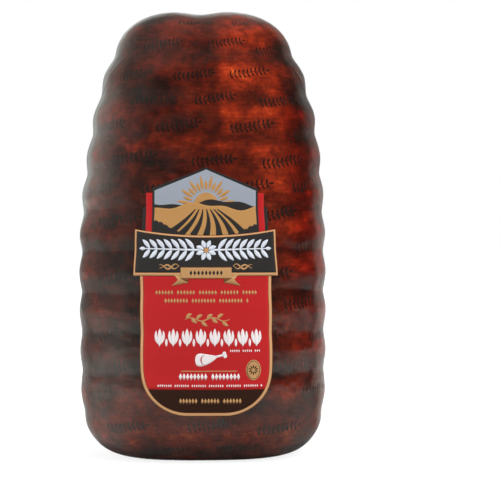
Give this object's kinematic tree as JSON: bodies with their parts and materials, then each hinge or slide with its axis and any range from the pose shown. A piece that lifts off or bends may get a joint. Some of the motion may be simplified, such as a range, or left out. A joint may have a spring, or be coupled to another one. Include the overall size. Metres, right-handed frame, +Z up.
{
  "type": "glazed ham",
  "caption": "Whole glazed deli ham standing on its flat end, ridged by its net, sealed in clear shrink film with a label on the front.",
  "frame": {"origin": "middle of the flat base that the ham stands on", "axes": "+Z up along the ham's length, -Y out of the front that carries the label, +X to the right seen from the front"},
  "size_m": [0.1726, 0.1481, 0.3098],
  "materials": {
    "ham_in_film": "dark red-brown smoked glaze on meat, under clear glossy shrink film",
    "label": "printed label, red with gold borders and black fields, satin"
  },
  "bodies": {
    "root": {"ham_in_film": "ham_in_film", "label": "label"}
  },
  "joints": []
}
